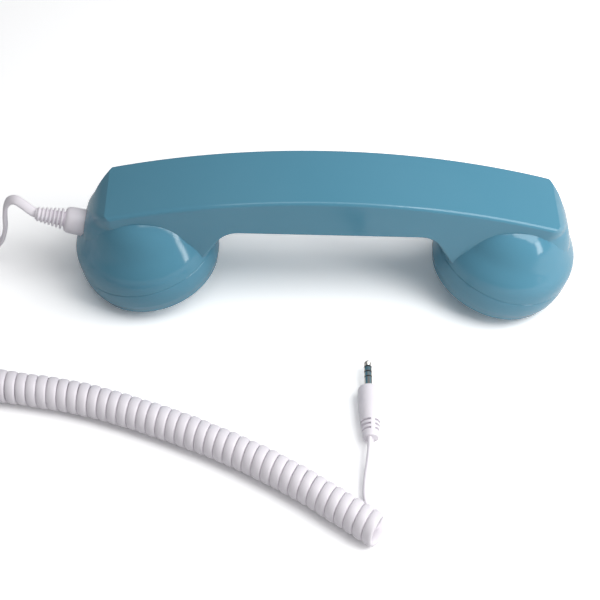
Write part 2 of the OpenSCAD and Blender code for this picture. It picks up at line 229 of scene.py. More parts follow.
# colours are linear; scales are per metre; bump distances are in metres
finishes = {
    "bluePlastic": {
        "colour": (0.088, 0.268, 0.375), "variation": 0.06, "patches": 22,
        "edge": (0.16, 0.4, 0.55), "rub": 0.25,
        "roughness": 0.13, "spread": 0.1, "smears": 55,
        "waves": 60, "grain": 2200, "grainShare": 0.05, "bump": 0.25, "depth": 0.00012,
    },
    "whitePlastic": {
        "colour": (0.78, 0.75, 0.78), "variation": 0.05, "patches": 60,
        "edge": (0.85, 0.84, 0.85), "rub": 0.3,
        "roughness": 0.3, "spread": 0.12, "smears": 90,
        "waves": 160, "grain": 3000, "grainShare": 0.2, "bump": 0.2, "depth": 0.0001,
    },
    "whiteRubber": {
        "colour": (0.85, 0.81, 0.86), "variation": 0.08, "patches": 70,
        "edge": (0.9, 0.87, 0.9), "rub": 0.3,
        "roughness": 0.42, "spread": 0.16, "smears": 120,
        "waves": 240, "grain": 4200, "grainShare": 0.35, "bump": 0.3, "depth": 0.0001,
    },
    "nickel": {
        "colour": (0.72, 0.7, 0.66), "variation": 0.06, "patches": 220,
        "edge": (0.85, 0.83, 0.8), "rub": 0.5, "metal": 1.0,
        "roughness": 0.16, "spread": 0.14, "smears": 400,
        "waves": 500, "grain": 6000, "grainShare": 0.3, "bump": 0.15, "depth": 0.00005,
    },
    "steelFinish": {
        "colour": (0.5, 0.51, 0.53), "variation": 0.12, "patches": 90,
        "edge": (0.72, 0.73, 0.75), "rub": 0.6, "metal": 1.0,
        "roughness": 0.34, "spread": 0.25, "smears": 240,
        "waves": 300, "grain": 5200, "grainShare": 0.6, "bump": 0.25, "depth": 0.0001,
    },
    "copperWire": {
        "colour": (0.6, 0.22, 0.1), "variation": 0.15, "patches": 200,
        "edge": (0.8, 0.4, 0.22), "rub": 0.5, "metal": 1.0,
        "roughness": 0.3, "spread": 0.2, "smears": 500,
        "waves": 900, "grain": 6500, "grainShare": 0.8, "bump": 0.5, "depth": 0.0001,
    },
    "darkPlastic": {
        "colour": (0.018, 0.018, 0.02), "variation": 0.3, "patches": 80,
        "edge": (0.06, 0.06, 0.06), "rub": 0.5,
        "roughness": 0.42, "spread": 0.2, "smears": 160,
        "waves": 200, "grain": 3600, "grainShare": 0.6, "bump": 0.3, "depth": 0.0001,
    },
    "clearFilm": {
        "colour": (0.62, 0.56, 0.42), "variation": 0.1, "patches": 90,
        "edge": (0.75, 0.7, 0.6), "rub": 0.2,
        "roughness": 0.22, "spread": 0.15, "smears": 200,
        "waves": 420, "grain": 2600, "grainShare": 0.3, "bump": 0.3, "depth": 0.0001,
    },
    "darkRubber": {
        "colour": (0.02, 0.02, 0.022), "variation": 0.35, "patches": 110,
        "edge": (0.05, 0.05, 0.05), "rub": 0.4,
        "roughness": 0.68, "spread": 0.2, "smears": 160,
        "waves": 260, "grain": 2800, "grainShare": 0.9, "bump": 0.4, "depth": 0.00015,
    },
    "screenCloth": {
        "colour": (0.012, 0.012, 0.013), "variation": 0.4, "patches": 900,
        "edge": (0.04, 0.04, 0.04), "rub": 0.3,
        "roughness": 0.85, "spread": 0.15, "smears": 600,
        "waves": 1500, "grain": 5000, "grainShare": 1.2, "bump": 0.8, "depth": 0.0002,
    },
    "redWire": {
        "colour": (0.42, 0.02, 0.015), "variation": 0.15, "patches": 120,
        "edge": (0.5, 0.1, 0.08), "rub": 0.3,
        "roughness": 0.36, "spread": 0.15, "smears": 260,
        "waves": 400, "grain": 3600, "grainShare": 0.3, "bump": 0.25, "depth": 0.0001,
    },
    "greenWire": {
        "colour": (0.02, 0.2, 0.04), "variation": 0.15, "patches": 120,
        "edge": (0.1, 0.32, 0.12), "rub": 0.3,
        "roughness": 0.36, "spread": 0.15, "smears": 260,
        "waves": 400, "grain": 3600, "grainShare": 0.3, "bump": 0.25, "depth": 0.0001,
    },
    "boardLacquer": {
        "colour": (0.012, 0.11, 0.035), "variation": 0.35, "patches": 260,
        "edge": (0.3, 0.3, 0.16), "rub": 0.6,
        "roughness": 0.28, "spread": 0.15, "smears": 300,
        "waves": 700, "grain": 4200, "grainShare": 0.5, "bump": 0.3, "depth": 0.0001,
    },
    "palePlastic": {
        "colour": (0.68, 0.66, 0.58), "variation": 0.08, "patches": 150,
        "edge": (0.8, 0.78, 0.7), "rub": 0.4,
        "roughness": 0.35, "spread": 0.15, "smears": 200,
        "waves": 300, "grain": 3600, "grainShare": 0.3, "bump": 0.2, "depth": 0.0001,
    },
}


def placeEffect(tree, effect, vector, values):
    node = tree.nodes.new("ShaderNodeGroup")
    node.node_tree = effects[effect]
    tree.links.new(vector, node.inputs["Vector"])
    for label, value in values.items():
        node.inputs[label].default_value = value
    return node.outputs[0]


def makeMaterial(name, look):
    material = bpy.data.materials.new(name)
    material.use_nodes = True
    tree = material.node_tree
    shader = tree.nodes["Principled BSDF"]
    vector = tree.nodes.new("ShaderNodeTexCoord").outputs["Object"]
    tone = placeEffect(tree, "castTone", vector, {
        "Colour": (*look["colour"], 1), "Variation": look["variation"], "Scale": look["patches"],
    })
    rub = placeEffect(tree, "rubbedEdge", vector, {"Amount": look["rub"], "Scale": look["smears"]})
    worn = tree.nodes.new("ShaderNodeMixRGB")
    worn.inputs["Color2"].default_value = (*look["edge"], 1)
    tree.links.new(rub, worn.inputs["Fac"])
    tree.links.new(tone, worn.inputs["Color1"])
    tree.links.new(worn.outputs["Color"], shader.inputs["Base Color"])
    gloss = placeEffect(tree, "handledGloss", vector, {
        "Roughness": look["roughness"], "Spread": look["spread"], "Scale": look["smears"],
    })
    tree.links.new(gloss, shader.inputs["Roughness"])
    skin = placeEffect(tree, "mouldSkin", vector, {
        "Waves": look["waves"], "Grain": look["grain"], "Grain Share": look["grainShare"],
    })
    bump = tree.nodes.new("ShaderNodeBump")
    bump.inputs["Strength"].default_value = look["bump"]
    bump.inputs["Distance"].default_value = look["depth"]
    tree.links.new(skin, bump.inputs["Height"])
    tree.links.new(bump.outputs["Normal"], shader.inputs["Normal"])
    shader.inputs["Metallic"].default_value = look.get("metal", 0.0)
    return material


materials = {name: makeMaterial(name, look) for name, look in finishes.items()}
print("materials ready")


# ways of working that the pieces share

def deselectAll():
    if bpy.context.object and bpy.context.object.mode != "OBJECT":
        bpy.ops.object.mode_set(mode="OBJECT")
    bpy.ops.object.select_all(action="DESELECT")


def pickUp(piece):
    deselectAll()
    piece.select_set(True)
    bpy.context.view_layer.objects.active = piece


def putDown(piece, name, place=None):
    bpy.ops.object.mode_set(mode="OBJECT")
    if place:
        piece.matrix_world = place
        bpy.ops.object.transform_apply(location=True, rotation=True, scale=True)
    piece.name = name
    piece.data.name = name
    return piece


def drawChain(points):
    deselectAll()
    bpy.ops.mesh.primitive_plane_add(size=mm)
    bpy.ops.object.mode_set(mode="EDIT")
    bpy.ops.mesh.select_mode(type="VERT")
    bpy.ops.mesh.select_all(action="SELECT")
    bpy.ops.mesh.merge(type="CENTER")
    bpy.ops.transform.translate(value=points[0])
    for start, end in zip(points, points[1:]):
        bpy.ops.mesh.extrude_vertices_move(TRANSFORM_OT_translate={"value": end - start})
    bpy.ops.mesh.select_all(action="SELECT")
    return bpy.context.object


def weld():
    bpy.ops.mesh.select_all(action="SELECT")
    bpy.ops.mesh.remove_doubles(threshold=0.0005 * mm)
    bpy.ops.mesh.select_all(action="SELECT")


# a turned piece from its outline (radius, height) in millimetres
def turned(name, outline, steps, place):
    piece = drawChain([Vector((radius, 0, height)) * mm for radius, height in outline])
    bpy.ops.mesh.spin(steps=steps, angle=2 * pi, center=(0, 0, 0), axis=(0, 0, 1))
    weld()
    bpy.ops.mesh.normals_make_consistent(inside=False)
    return putDown(piece, name, place)


# a slab from a closed outline in metres, drawn out by depth
def slab(name, points, depth, place=None):
    piece = drawChain(points + points[:1])
    weld()
    bpy.ops.mesh.edge_face_add()
    bpy.ops.mesh.extrude_region_move(TRANSFORM_OT_translate={"value": depth})
    weld()
    bpy.ops.mesh.normals_make_consistent(inside=False)
    return putDown(piece, name, place)


def stadium(name, length, width, low, high, place):
    straight = (length - width) / 2
    points = [
        Vector((end * straight + width / 2 * cos(angle), width / 2 * sin(angle), low)) * mm
        for end, start in ((1, -90), (-1, 90))
        for angle in [radians(start + 10 * step) for step in range(19)]  # half a turn
    ]
    return slab(name, points, Vector((0, 0, high - low)) * mm, place)


def disc(name, radius, low, high, place, steps=96):
    deselectAll()
    bpy.ops.mesh.primitive_cylinder_add(vertices=steps, radius=radius * mm, depth=(high - low) * mm)
    bpy.ops.object.mode_set(mode="EDIT")
    return putDown(bpy.context.object, name, place @ Matrix.Translation((0, 0, (low + high) / 2 * mm)))


def bar(name, size, place):
    deselectAll()
    bpy.ops.mesh.primitive_cube_add(size=1)
    bpy.context.object.scale = Vector(size) * mm
    bpy.ops.object.transform_apply(location=True, rotation=True, scale=True)
    bpy.ops.object.mode_set(mode="EDIT")
    return putDown(bpy.context.object, name, place)


# everything below a level of the place's own Z is cut off, and the cut is closed
def cutBelow(piece, place, level):
    pickUp(piece)
    bpy.ops.object.mode_set(mode="EDIT")
    bpy.ops.mesh.select_all(action="SELECT")
    bpy.ops.mesh.bisect(
        plane_co=place @ Vector((0, 0, level * mm)), plane_no=place.to_3x3() @ Vector((0, 0, 1)),
        use_fill=True, clear_inner=True,
    )
    bpy.ops.object.mode_set(mode="OBJECT")


def combine(piece, tool, operation):
    pickUp(piece)
    step = piece.modifiers.new("combine", "BOOLEAN")
    step.operation = operation
    step.object = tool
    step.solver = "EXACT"
    bpy.ops.object.modifier_apply(modifier=step.name)
    bpy.data.objects.remove(tool)


# faces that lie in one plane become one face
def flatten(piece):
    pickUp(piece)
    bpy.ops.object.mode_set(mode="EDIT")
    bpy.ops.mesh.select_mode(type="VERT")
    bpy.ops.mesh.select_all(action="SELECT")
    bpy.ops.mesh.remove_doubles(threshold=0.005 * mm)
    bpy.ops.mesh.dissolve_limited(angle_limit=radians(0.1))
    bpy.ops.object.mode_set(mode="OBJECT")


def bevelEdges(piece, test, width, segments):
    pickUp(piece)
    bpy.ops.object.mode_set(mode="EDIT")
    bpy.ops.mesh.select_mode(type="EDGE")
    bpy.ops.mesh.select_all(action="DESELECT")
    mesh = bmesh.from_edit_mesh(piece.data)
    for edge in mesh.edges:
        sharp = edge.calc_face_angle(0) > radians(20)
        edge.select_set(sharp and test(*[vertex.co / mm for vertex in edge.verts]))
    bmesh.update_edit_mesh(piece.data)
    bpy.ops.mesh.bevel(offset=width * mm, segments=segments, affect="EDGES", clamp_overlap=False)
    bpy.ops.object.mode_set(mode="OBJECT")


def smoothSurface(piece, angle=30):
    pickUp(piece)
    bpy.ops.object.shade_smooth_by_angle(angle=radians(angle))
    step = piece.modifiers.new("evenNormals", "WEIGHTED_NORMAL")
    step.keep_sharp = True
    bpy.ops.object.modifier_apply(modifier=step.name)


def fitOut(piece, body, slotName, finish, *nodes):
    piece.data.materials.clear()
    piece.data.materials.append(materials[finish])
    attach(piece, body)
    if nodes:
        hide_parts(*nodes)


# a smooth line through the given points, with samples about every step
def smoothLine(points, step):
    line = []
    for i in range(len(points) - 1):
        a, b = points[i], points[i + 1]
        before = points[i - 1] if i > 0 else 2 * a - b
        after = points[i + 2] if i + 2 < len(points) else 2 * b - a
        count = max(1, ceil((b - a).length / step))
        for k in range(count):
            t = k / count
            line.append(0.5 * (
                2 * a + (b - before) * t + (2 * before - 5 * a + 4 * b - after) * t * t
                + (3 * a - before - 3 * b + after) * t ** 3
            ))
    line.append(points[-1])
    return line


jointNamed = {joint["name"]: joint for joint in frame["joints"]}


# a cap's seam: local Z goes up its axis, into the cup
def seamPlace(jointName):
    joint = jointNamed[jointName]
    up = -Vector(joint["axis"]).normalized()
    back = Vector((0, 1, 0))
    turn = Matrix((back.cross(up), back, up)).transposed().to_4x4()
    return Matrix.Translation(joint["pos_m"]) @ turn


seams = {"ear": seamPlace("ear_cap_turn"), "mouth": seamPlace("mouth_cap_turn")}


# the cord: a flat lead, the curly coil and the plug's lead, one length of wire

cord = {
    "halfWidth": 2.1 * mm,
    "halfThickness": 1.0 * mm,
    "coilRadius": 5.8 * mm,
    "pitch": 4.3 * mm,
    "stepsPerTurn": 30,
    "sides": 14,
    "unwinding": 22 * mm,
    "loosePitch": 14 * mm,
    "axisStep": 1 * mm,
    "bendReach": 6,
    "tightness": 0.98,
    "exit": (-0.125, 0.0, 0.0368),
}

# each lead point, and the way that the broad face looks there
leadRoute = [
    ((-0.1215, 0.0, 0.0360), (0.15, -0.62, 0.77)),
    ((-0.1260, 0.0005, 0.0375), (0.18, -0.6, 0.78)),
    ((-0.1300, 0.0020, 0.0400), (0.2, -0.55, 0.8)),
    ((-0.1335, 0.0035, 0.0413), (-0.1, -0.45, 0.85)),
    ((-0.1366, 0.0043, 0.0398), (-0.6, -0.3, 0.6)),
    ((-0.1386, 0.0045, 0.0360), (-0.95, -0.1, 0.3)),
    ((-0.1396, 0.0045, 0.0300), (-1.0, 0.0, 0.1)),
    ((-0.1405, 0.0045, 0.0220), (-1.0, 0.0, 0.2)),
    ((-0.1430, 0.0045, 0.0145), (-0.9, 0.0, 0.45)),
    ((-0.1480, 0.0050, 0.0090), (-0.55, 0.0, 0.8)),
    ((-0.1540, 0.0055, 0.0072), (-0.1, 0.0, 1.0)),
    ((-0.1610, 0.0060, 0.0070), (0.0, 0.0, 1.0)),
]
coilRoute = [
    (0.018, -0.134, 0.0070), (0.004, -0.124, 0.0070), (-0.012, -0.113, 0.0070),
    (-0.031, -0.102, 0.0070), (-0.052, -0.092, 0.0070), (-0.072, -0.084, 0.0070),
    (-0.093, -0.077, 0.0070), (-0.110, -0.073, 0.0070), (-0.135, -0.069, 0.0070),
    (-0.158, -0.064, 0.0070), (-0.178, -0.054, 0.0070), (-0.191, -0.037, 0.0070),
    (-0.193, -0.016, 0.0070), (-0.181, 0.0, 0.0070), (-0.161, 0.006, 0.0070),
]
plugRoute = [
    ((0.0197, -0.1314, 0.00115), (0.0, 0.0, -1.0)),
    ((0.0196, -0.1270, 0.0013), (-0.1, 0.0, -1.0)),
    ((0.0172, -0.1222, 0.0016), (-0.4, 0.0, -0.9)),
    ((0.0152, -0.1175, 0.0021), (-0.7, 0.0, -0.7)),
    ((0.0150, -0.1110, 0.0026), (-0.85, 0.0, -0.5)),
    ((0.0158, -0.1040, 0.0033), (-0.93, 0.0, -0.37)),
    ((0.0168, -0.0970, 0.0044), (-0.93, 0.0, -0.37)),
    ((0.0175, -0.0885, 0.0047), (-0.93, 0.0, -0.37)),
]


def leadStations(route, step):
    points = [Vector(point) for point, _ in route]
    faces = [Vector(face).normalized() for _, face in route]
    line = smoothLine(points, step)
    counts = [max(1, ceil((b - a).length / step)) for a, b in zip(points, points[1:])]
    stations = []
    for span, count in enumerate(counts):
        for k in range(count):
            t = k / count
            stations.append((line[len(stations)], faces[span].lerp(faces[span + 1], t)))
    stations.append((line[-1], faces[-1]))
    return stations


def coilStations():
    axis = smoothLine([Vector(point) for point in coilRoute], cord["axisStep"])
    reach = cord["bendReach"]  # samples each way that a bend is measured over
    outer = cord["coilRadius"] + cord["halfThickness"]
    headings, travelled, turns = [], [0.0], [0.0]
    for i in range(len(axis)):
        headings.append((axis[min(i + 1, len(axis) - 1)] - axis[max(i - 1, 0)]).normalized())
    for a, b in zip(axis, axis[1:]):
        travelled.append(travelled[-1] + (b - a).length)
    for i in range(1, len(axis)):
        low, high = max(i - reach, 0), min(i + reach, len(axis) - 1)
        bend = headings[low].angle(headings[high]) / (travelled[high] - travelled[low])
        left = min(1.0, (travelled[-1] - travelled[i]) / cord["unwinding"])
        # a bend opens the turns on its outside, and the last stretch unwinds
        pitch = max(cord["pitch"], cord["tightness"] * cord["pitch"] / (1 - outer * bend))
        pitch += cord["loosePitch"] * (1 - left)
        turns.append(turns[-1] + (travelled[i] - travelled[i - 1]) / pitch)
    # the lead comes in at the top of the last turn and leaves at the bottom of the first
    whole = round(turns[-1] - 0.5) + 0.5
    turns = [turn * whole / turns[-1] for turn in turns]
    count = int(whole * cord["stepsPerTurn"])
    stations, i = [], 0
    for k in range(count + 1):
        turn = whole * k / count
        while i < len(turns) - 2 and turns[i + 1] < turn:
            i += 1
        t = (turn - turns[i]) / (turns[i + 1] - turns[i])
        middle = axis[i].lerp(axis[i + 1], t)
        heading = headings[i].lerp(headings[i + 1], t).normalized()
        along = travelled[i] + t * (travelled[i + 1] - travelled[i])
        left = min(1.0, (travelled[-1] - along) / cord["unwinding"])
        radius = cord["coilRadius"] * left * left * (3 - 2 * left)
        radius *= 1 + 0.012 * sin(1.7 * turn) + 0.008 * sin(0.61 * turn + 1.0)  # slightly uneven turns
        side = Vector((0, 0, 1)).cross(heading).normalized()
        angle = 2 * pi * turn - pi / 2
        arm = side * cos(angle) + Vector((0, 0, 1)) * sin(angle)
        stations.append((middle + arm * radius, arm))
    return stations[::-1]


def ribbonMesh(name, stations):
    sides = cord["sides"]
    vertices, faces = [], []
    for i, (point, face) in enumerate(stations):
        ahead = stations[min(i + 1, len(stations) - 1)][0] - stations[max(i - 1, 0)][0]
        ahead.normalize()
        out = (face - ahead * face.dot(ahead)).normalized()
        across = ahead.cross(out)
        for k in range(sides):
            angle = 2 * pi * (k + 0.5) / sides
            # a flat section with full edges, flatter on the side towards the coil's axis
            wide = copysign(abs(cos(angle)) ** 0.7, cos(angle)) * cord["halfWidth"]
            high = copysign(abs(sin(angle)) ** (0.9 if sin(angle) > 0 else 0.6), sin(angle))
            vertices.append(point + across * wide + out * high * cord["halfThickness"])
    for i in range(len(stations) - 1):
        for k in range(sides):
            a, b = i * sides + k, i * sides + (k + 1) % sides
            faces.append((a, b, b + sides, a + sides))
    faces.append(tuple(range(sides))[::-1])
    faces.append(tuple(range(len(vertices) - sides, len(vertices))))
    mesh = bpy.data.meshes.new(name)
    mesh.from_pydata(vertices, [], faces)
    piece = bpy.data.objects.new(name, mesh)
    scene.collection.objects.link(piece)
    pickUp(piece)
    bpy.ops.object.mode_set(mode="EDIT")
    bpy.ops.mesh.select_all(action="SELECT")
    bpy.ops.mesh.normals_make_consistent(inside=False)
    bpy.ops.object.mode_set(mode="OBJECT")
    bpy.ops.object.shade_smooth_by_angle(angle=radians(50))
    return piece


def makeCord():
    step = cord["axisStep"]
    stations = leadStations(leadRoute, step)[:-1] + coilStations() + leadStations(plugRoute, step)
    piece = ribbonMesh("curlyCord", stations)
    length = sum((b[0] - a[0]).length for a, b in zip(stations, stations[1:]))
    print("cord length", round(length, 3), "stations", len(stations))
    fitOut(piece, "handset", "white_rubber", "whiteRubber", "handset_lead", "curly_coil", "plug_lead")
    return piece, [list(point) for point, _ in stations], round(length, 2)


curlyCord, cordPath, cordLength = makeCord()
print("cord ready")


# the shell: handle, both cups and spigots, one moulding

shell = {
    "width": 32, "crownZ": 63.7, "crownRadius": 345, "reach": 112, "topFrom": 89,
    "gripZ": 44, "neckRadius": 10, "neckX": 38, "slope": 60, "bottomZ": 12,
    "topEdge": 1.7, "lowEdge": 1.3,
    "end": [(105, 8), (105.2, 26), (104.9, 32), (103.5, 38), (101.5, 42.8), (98.4, 47.2), (92.6, 52.4)],
    "lopsided": 1.0, "lopsidedFrom": 38, "sideGap": 0.02,
    "topCorner": 1.8, "lowCorner": 12, "cornerFades": (44, 51.5),
    "cupX": 78.3, "cupSteps": 144,
    "cup": [(30.7, 4), (30.7, 16), (30.4, 21), (29.2, 26), (27.3, 31), (24.9, 36.5), (22.2, 42),
            (19.3, 45.9), (16.2, 48.4), (11.8, 50.2), (6.6, 51.4), (0, 51.8)],
    "seamRadius": 30.85, "seamBlend": 15, "seamEdge": 0.25, "seamTaper": 0.05,
    "blockEnd": 60, "blockTop": 75, "levelStep": 1.1, "cupStep": 1.6, "overlap": 0.4,
}
hollow = {
    "cup": [(0, 16), (22.5, 16), (22.5, 36), (19, 41), (13.2, 47), (6.4, 49.6), (0, 50.2)],
    "bore": 24.5, "spigot": 26.9, "spigotLow": -6, "seat": 6,
    "channelX": 72, "channelWidth": 26, "channelZ": 47, "roof": 3,
}
hatch = {
    "x": 12, "plateLength": 50, "plateWidth": 18, "plateTop": 45.5,
    "hatchLength": 36, "hatchWidth": 14, "screwX": 21, "gap": 0.1,
}


def crownAt(x, inset=0):
    crown = shell["crownRadius"] - inset
    return shell["crownZ"] - shell["crownRadius"] + (crown * crown - x * x) ** 0.5


# the long view of the handle: flat arched top, grip, necks and slopes
def handleOutline():
    slope = radians(shell["slope"])
    neck = Vector((shell["neckX"], shell["gripZ"] - shell["neckRadius"]))
    bend = [
        neck + Vector((cos(angle), sin(angle))) * shell["neckRadius"]
        for angle in [radians(90 - 5 * step) for step in range(13)]
    ]
    foot = bend[-1] + Vector((cos(slope), -sin(slope))) * (bend[-1].y - shell["bottomZ"]) / sin(slope)
    stations = [shell["reach"], 98] + [shell["topFrom"] * (1 - k / 30) for k in range(31)]
    top = [Vector((x, crownAt(x))) for x in stations]
    half = [Vector((0, shell["gripZ"]))] + bend + [foot, Vector((shell["reach"], shell["bottomZ"]))] + top
    other = [Vector((-point.x, point.y)) for point in half[1:-1]]
    return half + other[::-1]


# the ends of the handle: a tall block with round corners, drawn in level by level
def makeEnds():
    side, corner = shell["width"] / 2 + shell["sideGap"], shell["lowCorner"]
    turns = [radians(15 * step) for step in range(7)]
    inner = shell["blockEnd"] - corner
    quarter = [Vector((inner + corner * cos(a), side - corner + corner * sin(a))) for a in turns]
    outline = quarter + [Vector((-p.x, p.y)) for p in quarter[::-1]]
    outline += [Vector((-p.x, -p.y)) for p in quarter] + [Vector((p.x, -p.y)) for p in quarter[::-1]]
    line = smoothLine([Vector(point) for point in shell["end"]], shell["levelStep"])
    low, high = line[0].y, shell["blockTop"]
    block = slab("ends", [Vector((p.x, p.y, low)) * mm for p in outline], Vector((0, 0, (high - low) * mm)))
    pickUp(block)
    bpy.ops.object.mode_set(mode="EDIT")
    for point in line[1:]:
        bpy.ops.mesh.select_all(action="SELECT")
        bpy.ops.mesh.bisect(plane_co=(0, 0, point.y * mm), plane_no=(0, 0, 1))
    bpy.ops.mesh.select_all(action="SELECT")
    bpy.ops.object.mode_set(mode="OBJECT")
    fadeLow, fadeHigh = shell["cornerFades"]
    for vertex in block.data.vertices:
        x, y, z = vertex.co / mm
        level = min(line, key=lambda point: abs(point.y - z)) if z < line[-1].y else line[-1]
        share = min(1, max(0, (z - fadeLow) / (fadeHigh - fadeLow)))
        radius = corner + (shell["topCorner"] - corner) * share
        arm = Vector((abs(x) - inner, abs(y) - (side - corner))) / corner
        # the ear end stands out a little more than the mouth end, most at its top
        rise = min(1, max(0, (z - shell["lopsidedFrom"]) / (line[-1].y - shell["lopsidedFrom"])))
        end = level.x + copysign(shell["lopsided"] * rise, x)
        vertex.co.x = copysign(end - radius + radius * arm.x, x) * mm
        vertex.co.y = copysign(side - radius + radius * arm.y, y) * mm
    flatten(block)
    return block


def makeHandle():
    side = shell["width"] / 2
    points = [Vector((point.x, -side, point.y)) * mm for point in handleOutline()]
    handle = slab("handle", points, Vector((0, 2 * side * mm, 0)))

    def alongSide(a, b):
        return abs(a.y - b.y) < 0.01

    def onTop(a, b):
        return alongSide(a, b) and min(a.z - crownAt(a.x), b.z - crownAt(b.x)) > -0.05

    def isLow(a, b):
        return alongSide(a, b) and max(a.z, b.z) < shell["gripZ"] + 1

    bevelEdges(handle, onTop, shell["topEdge"], 5)
    bevelEdges(handle, isLow, shell["lowEdge"], 4)
    combine(handle, makeEnds(), "INTERSECT")
    for seam in seams.values():
        below = disc("below", 60, -80, shell["overlap"], seam, 4)
        combine(handle, below, "DIFFERENCE")
    flatten(handle)
    return handle


# the cup's lower edge is drawn to the cap's round, so that the two meet flush
def makeCup(end, seam):
    line = smoothLine([Vector(point) for point in shell["cup"]], shell["cupStep"])
    outline = [(0, shell["cup"][0][1])] + [(max(point.x, 0), point.y) for point in line]
    cup = turned("cup", outline, shell["cupSteps"], Matrix.Translation((end * shell["cupX"] * mm, 0, 0)))
    cutBelow(cup, seam, 0)
    back = seam.inverted()
    onWall = 20  # everything on the cup's wall lies further out than this
    for vertex in cup.data.vertices:
        point = back @ vertex.co / mm
        reach = Vector((point.x, point.y))
        if reach.length > onWall and point.z < shell["seamBlend"]:
            share = 1 - point.z / shell["seamBlend"]
            share = share * share * (3 - 2 * share)
            wanted = shell["seamRadius"] - shell["seamTaper"] * point.z
            reach *= 1 + share * (wanted / reach.length - 1)
            vertex.co = seam @ (Vector((reach.x, reach.y, point.z)) * mm)

    def onSeam(a, b):
        low, high = back @ (a * mm), back @ (b * mm)
        return abs(low.z) < 0.005 * mm and abs(high.z) < 0.005 * mm

    bevelEdges(cup, onSeam, shell["seamEdge"], 2)
    return cup


def makeShell():
    body = makeHandle()
    for end, seam in ((1, seams["ear"]), (-1, seams["mouth"])):
        combine(body, makeCup(end, seam), "UNION")
        combine(body, disc("spigot", hollow["spigot"], hollow["spigotLow"], 1, seam), "UNION")
        combine(body, disc("bore", hollow["bore"], -10, hollow["seat"], seam), "DIFFERENCE")
        inside = turned("inside", hollow["cup"], 96, Matrix.Translation((end * shell["cupX"] * mm, 0, 0)))
        cutBelow(inside, seam, hollow["seat"] - 0.1)
        combine(body, inside, "DIFFERENCE")
    spread = [hollow["channelX"] * (1 - k / 12) for k in range(25)]
    roof = [Vector((x, crownAt(x, hollow["roof"]))) for x in spread]
    floor = [Vector((end * hollow["channelX"], hollow["channelZ"])) for end in (-1, 1)]
    side = hollow["channelWidth"] / 2
    points = [Vector((point.x, -side, point.y)) * mm for point in roof + floor]
    combine(body, slab("channel", points, Vector((0, 2 * side * mm, 0))), "DIFFERENCE")
    over = 2 * hatch["gap"]
    middle = Matrix.Translation((hatch["x"] * mm, 0, 0))
    for length, width, low, high in (
        (hatch["plateLength"], hatch["plateWidth"], 40, hatch["plateTop"]),
        (hatch["hatchLength"], hatch["hatchWidth"], 44.5, 48),
    ):
        combine(body, stadium("opening", length + over, width + over, low, high, middle), "DIFFERENCE")
    for radius, low, high in boot["holes"]:
        combine(body, disc("bootHole", radius, low, high, bootPlace, 48), "DIFFERENCE")
    smoothSurface(body)
    body.name = body.data.name = "handsetShell"
    fitOut(body, "handset", "body_plastic", "bluePlastic", "handset_body")
    return body


boot = {
    "root": (-105.4, 0, 32), "lean": 14, "ribs": 7, "firstRib": 8.7, "ribStep": 1.65, "ribWide": 1.05,
    "ribRadius": 4.5, "ribTaper": 0.235, "core": 3.0, "coreTaper": 0.085,
    "holes": [(5.85, -1.4, 8), (3.6, -6.3, 1), (4.8, -12, -5)],  # in the shell, from the outside in
    "collar": [(0, -6.3), (4.6, -6.3), (4.6, -5), (3.5, -5), (3.5, -1.35), (5.6, -1.35),
               (5.75, -1.0), (5.8, 2.5), (5.75, 5.2), (5.55, 6.5), (5.1, 7.3), (4.4, 7.75),
               (3.4, 7.95)],
}
bootPlace = (Matrix.Translation(Vector(boot["root"]) * mm)
             @ Matrix.Rotation(radians(boot["lean"] - 90), 4, "Y"))
handsetShell = makeShell()
print("shell ready")


# the two caps, screwed on over the spigots

cap = {
    "dish": [(0, -11), (6, -11.1), (13, -12.2), (17.5, -13.7), (20, -14.4)],
    "face": 26.8, "edge": 2, "bottom": -14.4,
    "skirt": [(28.8, -12.4), (29.3, -11.0), (30.3, -8.5), (30.9, -4.5), (30.9, -0.8),
              (30.8, -0.25), (30.55, 0)],
    "inside": [(26.98, 0), (26.98, -6.1), (24.8, -6.1), (24.8, -8.5), (24, -8.5), (24, -11.4),
               (21, -11.4), (21, -8.5), (0, -8.5)],
    "earHole": 1.7, "mouthHole": 1.2, "flare": 0.35,
    "earRings": [(0, 1), (7.5, 6)], "mouthRings": [(0, 1), (5, 6), (10, 12)],
    "holeTop": -8, "holeStart": -15, "holeSteps": 20, "holeTurn": 1.3,
    "dishLevel": -11, "dishFrom": 4, "dishFall": 0.12,
}


def makeCap(name, seam, holeRadius, rings):
    dish = [(max(point.x, 0), point.y) for point in smoothLine([Vector(p) for p in cap["dish"]], 1.5)]
    rim = [
        (cap["face"] + cap["edge"] * sin(angle), cap["bottom"] + cap["edge"] * (1 - cos(angle)))
        for angle in [radians(15 * step) for step in range(6)]
    ]
    skirt = [(point.x, point.y) for point in smoothLine([Vector(p) for p in cap["skirt"]], 0.9)]
    piece = turned(name, dish + rim + skirt + cap["inside"] + [dish[0]], 144, seam)
    flare = cap["flare"]
    # a small turn keeps the edges of the holes off the cap's own edges
    aside = seam @ Matrix.Rotation(radians(cap["holeTurn"]), 4, "Z")
    for ring, count in rings:
        for k in range(count):
            angle = 2 * pi * k / count
            x, y = ring * cos(angle), ring * sin(angle)
            # the dish falls away from its middle, and each hole's rim follows it
            level = cap["dishLevel"] - max(0, ring - cap["dishFrom"]) * cap["dishFall"]
            punch = turned("punch", [
                (0, cap["holeStart"]), (holeRadius + 4 * flare, level - 1.5), (holeRadius, level + flare),
                (holeRadius, cap["holeTop"]), (0, cap["holeTop"]),
            ], cap["holeSteps"], aside @ Matrix.Translation((x * mm, y * mm, 0)))
            combine(piece, punch, "DIFFERENCE")
    smoothSurface(piece)
    return piece


